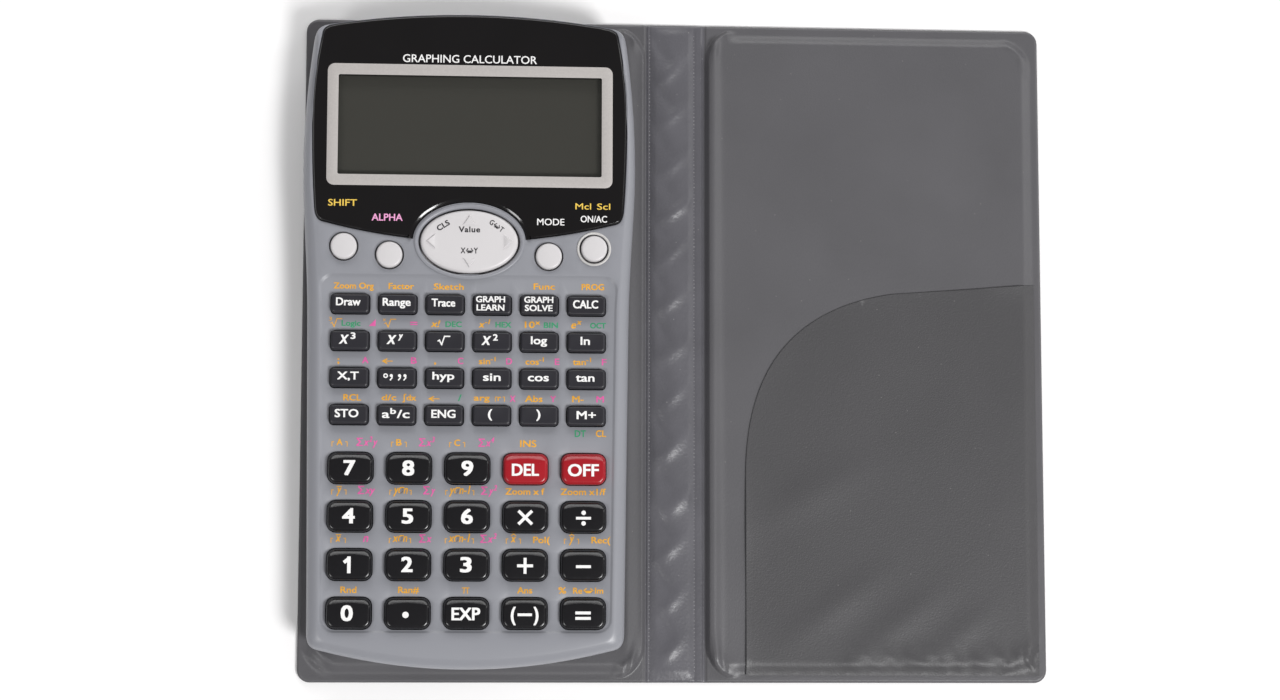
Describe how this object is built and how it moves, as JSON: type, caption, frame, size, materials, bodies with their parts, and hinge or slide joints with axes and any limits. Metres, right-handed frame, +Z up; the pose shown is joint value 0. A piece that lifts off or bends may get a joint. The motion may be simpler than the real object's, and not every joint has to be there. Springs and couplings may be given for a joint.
{
  "type": "graphing calculator",
  "caption": "Slim scientific graphing calculator with a black display panel, oval cursor pad and rows of keys, lying in its open folding vinyl wallet.",
  "frame": {"origin": "middle of the open wallet's underside, on the surface it lies on", "axes": "+X across the spine towards the wallet's loose cover, +Y towards the top of the calculator, +Z up"},
  "size_m": [0.1768, 0.1574, 0.0129],
  "materials": {
    "wallet_vinyl": "soft grained vinyl",
    "case_plastic": "satin",
    "rear_plastic": "satin",
    "display_black": "gloss",
    "lcd_glass": "dull green-grey",
    "board": "satin",
    "contact_rubber": "matte",
    "cell_steel": "polished",
    "screw_steel": "plated",
    "function_plastic": "satin",
    "number_plastic": "gloss",
    "red_plastic": "gloss",
    "button_white": "satin",
    "window_lens": "clear",
    "frame_silver": "fine silver print",
    "print_white": "print",
    "print_orange": "print",
    "print_yellow": "print",
    "print_pink": "print",
    "print_green": "print",
    "print_black": "print"
  },
  "bodies": {
    "calculator": {"wallet_back": "wallet_vinyl", "rear_case": "rear_plastic", "front_case": "case_plastic", "display_panel": "display_black", "lcd_module": "lcd_glass", "circuit_board": "board", "keypad_rubber": "contact_rubber", "battery_cells": "cell_steel", "case_screws": "screw_steel"},
    "spine": {"wallet_spine": "wallet_vinyl"},
    "cover": {"wallet_cover": "wallet_vinyl"},
    "cursor_pad": {"cursor_pad": "button_white"},
    "key_shift": {"key_shift": "button_white"},
    "key_alpha": {"key_alpha": "button_white"},
    "key_mode": {"key_mode": "button_white"},
    "key_on": {"key_on": "button_white"},
    "key_draw": {"key_draw": "function_plastic"},
    "key_range": {"key_range": "function_plastic"},
    "key_trace": {"key_trace": "function_plastic"},
    "key_learn": {"key_learn": "function_plastic"},
    "key_solve": {"key_solve": "function_plastic"},
    "key_calc": {"key_calc": "function_plastic"},
    "key_cube": {"key_cube": "function_plastic"},
    "key_power": {"key_power": "function_plastic"},
    "key_root": {"key_root": "function_plastic"},
    "key_square": {"key_square": "function_plastic"},
    "key_log": {"key_log": "function_plastic"},
    "key_ln": {"key_ln": "function_plastic"},
    "key_xt": {"key_xt": "function_plastic"},
    "key_dms": {"key_dms": "function_plastic"},
    "key_hyp": {"key_hyp": "function_plastic"},
    "key_sin": {"key_sin": "function_plastic"},
    "key_cos": {"key_cos": "function_plastic"},
    "key_tan": {"key_tan": "function_plastic"},
    "key_sto": {"key_sto": "function_plastic"},
    "key_fraction": {"key_fraction": "function_plastic"},
    "key_eng": {"key_eng": "function_plastic"},
    "key_open": {"key_open": "function_plastic"},
    "key_close": {"key_close": "function_plastic"},
    "key_mplus": {"key_mplus": "function_plastic"},
    "key_7": {"key_7": "number_plastic"},
    "key_8": {"key_8": "number_plastic"},
    "key_9": {"key_9": "number_plastic"},
    "key_del": {"key_del": "red_plastic"},
    "key_off": {"key_off": "red_plastic"},
    "key_4": {"key_4": "number_plastic"},
    "key_5": {"key_5": "number_plastic"},
    "key_6": {"key_6": "number_plastic"},
    "key_times": {"key_times": "number_plastic"},
    "key_divide": {"key_divide": "number_plastic"},
    "key_1": {"key_1": "number_plastic"},
    "key_2": {"key_2": "number_plastic"},
    "key_3": {"key_3": "number_plastic"},
    "key_plus": {"key_plus": "number_plastic"},
    "key_minus": {"key_minus": "number_plastic"},
    "key_0": {"key_0": "number_plastic"},
    "key_point": {"key_point": "number_plastic"},
    "key_exp": {"key_exp": "number_plastic"},
    "key_negative": {"key_negative": "number_plastic"},
    "key_equals": {"key_equals": "number_plastic"}
  },
  "joints": [
    {"name": "spine_fold", "type": "hinge", "parent": "calculator", "child": "spine", "pos_m": [-0.0075, 0, 0.00035], "axis": [0, -1, 0], "range_deg": [0, 90]},
    {"name": "cover_fold", "type": "hinge", "parent": "spine", "child": "cover", "pos_m": [0.0075, 0, 0.00035], "axis": [0, -1, 0], "range_deg": [0, 90]},
    {"name": "cursor_tilt", "type": "hinge", "parent": "calculator", "child": "cursor_pad", "pos_m": [-0.0492, 0.0237, 0.0083], "axis": [1, 0, 0], "range_deg": [-4, 4], "stiffness_Nm_per_rad": 0.1, "deforming": ["keypad_rubber"]},
    {"name": "shift_press", "type": "slide", "parent": "calculator", "child": "key_shift", "axis": [0, 0, -1], "range_m": [0, 0.001], "stiffness_N_per_m": 300, "springref_m": -0.0005, "deforming": ["keypad_rubber"]},
    {"name": "alpha_press", "type": "slide", "parent": "calculator", "child": "key_alpha", "axis": [0, 0, -1], "range_m": [0, 0.001], "stiffness_N_per_m": 300, "springref_m": -0.0005, "deforming": ["keypad_rubber"]},
    {"name": "mode_press", "type": "slide", "parent": "calculator", "child": "key_mode", "axis": [0, 0, -1], "range_m": [0, 0.001], "stiffness_N_per_m": 300, "springref_m": -0.0005, "deforming": ["keypad_rubber"]},
    {"name": "on_press", "type": "slide", "parent": "calculator", "child": "key_on", "axis": [0, 0, -1], "range_m": [0, 0.001], "stiffness_N_per_m": 300, "springref_m": -0.0005, "deforming": ["keypad_rubber"]},
    {"name": "draw_press", "type": "slide", "parent": "calculator", "child": "key_draw", "axis": [0, 0, -1], "range_m": [0, 0.001], "stiffness_N_per_m": 300, "springref_m": -0.0005, "deforming": ["keypad_rubber"]},
    {"name": "range_press", "type": "slide", "parent": "calculator", "child": "key_range", "axis": [0, 0, -1], "range_m": [0, 0.001], "stiffness_N_per_m": 300, "springref_m": -0.0005, "deforming": ["keypad_rubber"]},
    {"name": "trace_press", "type": "slide", "parent": "calculator", "child": "key_trace", "axis": [0, 0, -1], "range_m": [0, 0.001], "stiffness_N_per_m": 300, "springref_m": -0.0005, "deforming": ["keypad_rubber"]},
    {"name": "learn_press", "type": "slide", "parent": "calculator", "child": "key_learn", "axis": [0, 0, -1], "range_m": [0, 0.001], "stiffness_N_per_m": 300, "springref_m": -0.0005, "deforming": ["keypad_rubber"]},
    {"name": "solve_press", "type": "slide", "parent": "calculator", "child": "key_solve", "axis": [0, 0, -1], "range_m": [0, 0.001], "stiffness_N_per_m": 300, "springref_m": -0.0005, "deforming": ["keypad_rubber"]},
    {"name": "calc_press", "type": "slide", "parent": "calculator", "child": "key_calc", "axis": [0, 0, -1], "range_m": [0, 0.001], "stiffness_N_per_m": 300, "springref_m": -0.0005, "deforming": ["keypad_rubber"]},
    {"name": "cube_press", "type": "slide", "parent": "calculator", "child": "key_cube", "axis": [0, 0, -1], "range_m": [0, 0.001], "stiffness_N_per_m": 300, "springref_m": -0.0005, "deforming": ["keypad_rubber"]},
    {"name": "power_press", "type": "slide", "parent": "calculator", "child": "key_power", "axis": [0, 0, -1], "range_m": [0, 0.001], "stiffness_N_per_m": 300, "springref_m": -0.0005, "deforming": ["keypad_rubber"]},
    {"name": "root_press", "type": "slide", "parent": "calculator", "child": "key_root", "axis": [0, 0, -1], "range_m": [0, 0.001], "stiffness_N_per_m": 300, "springref_m": -0.0005, "deforming": ["keypad_rubber"]},
    {"name": "square_press", "type": "slide", "parent": "calculator", "child": "key_square", "axis": [0, 0, -1], "range_m": [0, 0.001], "stiffness_N_per_m": 300, "springref_m": -0.0005, "deforming": ["keypad_rubber"]},
    {"name": "log_press", "type": "slide", "parent": "calculator", "child": "key_log", "axis": [0, 0, -1], "range_m": [0, 0.001], "stiffness_N_per_m": 300, "springref_m": -0.0005, "deforming": ["keypad_rubber"]},
    {"name": "ln_press", "type": "slide", "parent": "calculator", "child": "key_ln", "axis": [0, 0, -1], "range_m": [0, 0.001], "stiffness_N_per_m": 300, "springref_m": -0.0005, "deforming": ["keypad_rubber"]},
    {"name": "xt_press", "type": "slide", "parent": "calculator", "child": "key_xt", "axis": [0, 0, -1], "range_m": [0, 0.001], "stiffness_N_per_m": 300, "springref_m": -0.0005, "deforming": ["keypad_rubber"]},
    {"name": "dms_press", "type": "slide", "parent": "calculator", "child": "key_dms", "axis": [0, 0, -1], "range_m": [0, 0.001], "stiffness_N_per_m": 300, "springref_m": -0.0005, "deforming": ["keypad_rubber"]},
    {"name": "hyp_press", "type": "slide", "parent": "calculator", "child": "key_hyp", "axis": [0, 0, -1], "range_m": [0, 0.001], "stiffness_N_per_m": 300, "springref_m": -0.0005, "deforming": ["keypad_rubber"]},
    {"name": "sin_press", "type": "slide", "parent": "calculator", "child": "key_sin", "axis": [0, 0, -1], "range_m": [0, 0.001], "stiffness_N_per_m": 300, "springref_m": -0.0005, "deforming": ["keypad_rubber"]},
    {"name": "cos_press", "type": "slide", "parent": "calculator", "child": "key_cos", "axis": [0, 0, -1], "range_m": [0, 0.001], "stiffness_N_per_m": 300, "springref_m": -0.0005, "deforming": ["keypad_rubber"]},
    {"name": "tan_press", "type": "slide", "parent": "calculator", "child": "key_tan", "axis": [0, 0, -1], "range_m": [0, 0.001], "stiffness_N_per_m": 300, "springref_m": -0.0005, "deforming": ["keypad_rubber"]},
    {"name": "sto_press", "type": "slide", "parent": "calculator", "child": "key_sto", "axis": [0, 0, -1], "range_m": [0, 0.001], "stiffness_N_per_m": 300, "springref_m": -0.0005, "deforming": ["keypad_rubber"]},
    {"name": "fraction_press", "type": "slide", "parent": "calculator", "child": "key_fraction", "axis": [0, 0, -1], "range_m": [0, 0.001], "stiffness_N_per_m": 300, "springref_m": -0.0005, "deforming": ["keypad_rubber"]},
    {"name": "eng_press", "type": "slide", "parent": "calculator", "child": "key_eng", "axis": [0, 0, -1], "range_m": [0, 0.001], "stiffness_N_per_m": 300, "springref_m": -0.0005, "deforming": ["keypad_rubber"]},
    {"name": "open_press", "type": "slide", "parent": "calculator", "child": "key_open", "axis": [0, 0, -1], "range_m": [0, 0.001], "stiffness_N_per_m": 300, "springref_m": -0.0005, "deforming": ["keypad_rubber"]},
    {"name": "close_press", "type": "slide", "parent": "calculator", "child": "key_close", "axis": [0, 0, -1], "range_m": [0, 0.001], "stiffness_N_per_m": 300, "springref_m": -0.0005, "deforming": ["keypad_rubber"]},
    {"name": "mplus_press", "type": "slide", "parent": "calculator", "child": "key_mplus", "axis": [0, 0, -1], "range_m": [0, 0.001], "stiffness_N_per_m": 300, "springref_m": -0.0005, "deforming": ["keypad_rubber"]},
    {"name": "7_press", "type": "slide", "parent": "calculator", "child": "key_7", "axis": [0, 0, -1], "range_m": [0, 0.001], "stiffness_N_per_m": 300, "springref_m": -0.0005, "deforming": ["keypad_rubber"]},
    {"name": "8_press", "type": "slide", "parent": "calculator", "child": "key_8", "axis": [0, 0, -1], "range_m": [0, 0.001], "stiffness_N_per_m": 300, "springref_m": -0.0005, "deforming": ["keypad_rubber"]},
    {"name": "9_press", "type": "slide", "parent": "calculator", "child": "key_9", "axis": [0, 0, -1], "range_m": [0, 0.001], "stiffness_N_per_m": 300, "springref_m": -0.0005, "deforming": ["keypad_rubber"]},
    {"name": "del_press", "type": "slide", "parent": "calculator", "child": "key_del", "axis": [0, 0, -1], "range_m": [0, 0.001], "stiffness_N_per_m": 300, "springref_m": -0.0005, "deforming": ["keypad_rubber"]},
    {"name": "off_press", "type": "slide", "parent": "calculator", "child": "key_off", "axis": [0, 0, -1], "range_m": [0, 0.001], "stiffness_N_per_m": 300, "springref_m": -0.0005, "deforming": ["keypad_rubber"]},
    {"name": "4_press", "type": "slide", "parent": "calculator", "child": "key_4", "axis": [0, 0, -1], "range_m": [0, 0.001], "stiffness_N_per_m": 300, "springref_m": -0.0005, "deforming": ["keypad_rubber"]},
    {"name": "5_press", "type": "slide", "parent": "calculator", "child": "key_5", "axis": [0, 0, -1], "range_m": [0, 0.001], "stiffness_N_per_m": 300, "springref_m": -0.0005, "deforming": ["keypad_rubber"]},
    {"name": "6_press", "type": "slide", "parent": "calculator", "child": "key_6", "axis": [0, 0, -1], "range_m": [0, 0.001], "stiffness_N_per_m": 300, "springref_m": -0.0005, "deforming": ["keypad_rubber"]},
    {"name": "times_press", "type": "slide", "parent": "calculator", "child": "key_times", "axis": [0, 0, -1], "range_m": [0, 0.001], "stiffness_N_per_m": 300, "springref_m": -0.0005, "deforming": ["keypad_rubber"]},
    {"name": "divide_press", "type": "slide", "parent": "calculator", "child": "key_divide", "axis": [0, 0, -1], "range_m": [0, 0.001], "stiffness_N_per_m": 300, "springref_m": -0.0005, "deforming": ["keypad_rubber"]},
    {"name": "1_press", "type": "slide", "parent": "calculator", "child": "key_1", "axis": [0, 0, -1], "range_m": [0, 0.001], "stiffness_N_per_m": 300, "springref_m": -0.0005, "deforming": ["keypad_rubber"]},
    {"name": "2_press", "type": "slide", "parent": "calculator", "child": "key_2", "axis": [0, 0, -1], "range_m": [0, 0.001], "stiffness_N_per_m": 300, "springref_m": -0.0005, "deforming": ["keypad_rubber"]},
    {"name": "3_press", "type": "slide", "parent": "calculator", "child": "key_3", "axis": [0, 0, -1], "range_m": [0, 0.001], "stiffness_N_per_m": 300, "springref_m": -0.0005, "deforming": ["keypad_rubber"]},
    {"name": "plus_press", "type": "slide", "parent": "calculator", "child": "key_plus", "axis": [0, 0, -1], "range_m": [0, 0.001], "stiffness_N_per_m": 300, "springref_m": -0.0005, "deforming": ["keypad_rubber"]},
    {"name": "minus_press", "type": "slide", "parent": "calculator", "child": "key_minus", "axis": [0, 0, -1], "range_m": [0, 0.001], "stiffness_N_per_m": 300, "springref_m": -0.0005, "deforming": ["keypad_rubber"]},
    {"name": "0_press", "type": "slide", "parent": "calculator", "child": "key_0", "axis": [0, 0, -1], "range_m": [0, 0.001], "stiffness_N_per_m": 300, "springref_m": -0.0005, "deforming": ["keypad_rubber"]},
    {"name": "point_press", "type": "slide", "parent": "calculator", "child": "key_point", "axis": [0, 0, -1], "range_m": [0, 0.001], "stiffness_N_per_m": 300, "springref_m": -0.0005, "deforming": ["keypad_rubber"]},
    {"name": "exp_press", "type": "slide", "parent": "calculator", "child": "key_exp", "axis": [0, 0, -1], "range_m": [0, 0.001], "stiffness_N_per_m": 300, "springref_m": -0.0005, "deforming": ["keypad_rubber"]},
    {"name": "negative_press", "type": "slide", "parent": "calculator", "child": "key_negative", "axis": [0, 0, -1], "range_m": [0, 0.001], "stiffness_N_per_m": 300, "springref_m": -0.0005, "deforming": ["keypad_rubber"]},
    {"name": "equals_press", "type": "slide", "parent": "calculator", "child": "key_equals", "axis": [0, 0, -1], "range_m": [0, 0.001], "stiffness_N_per_m": 300, "springref_m": -0.0005, "deforming": ["keypad_rubber"]}
  ]
}
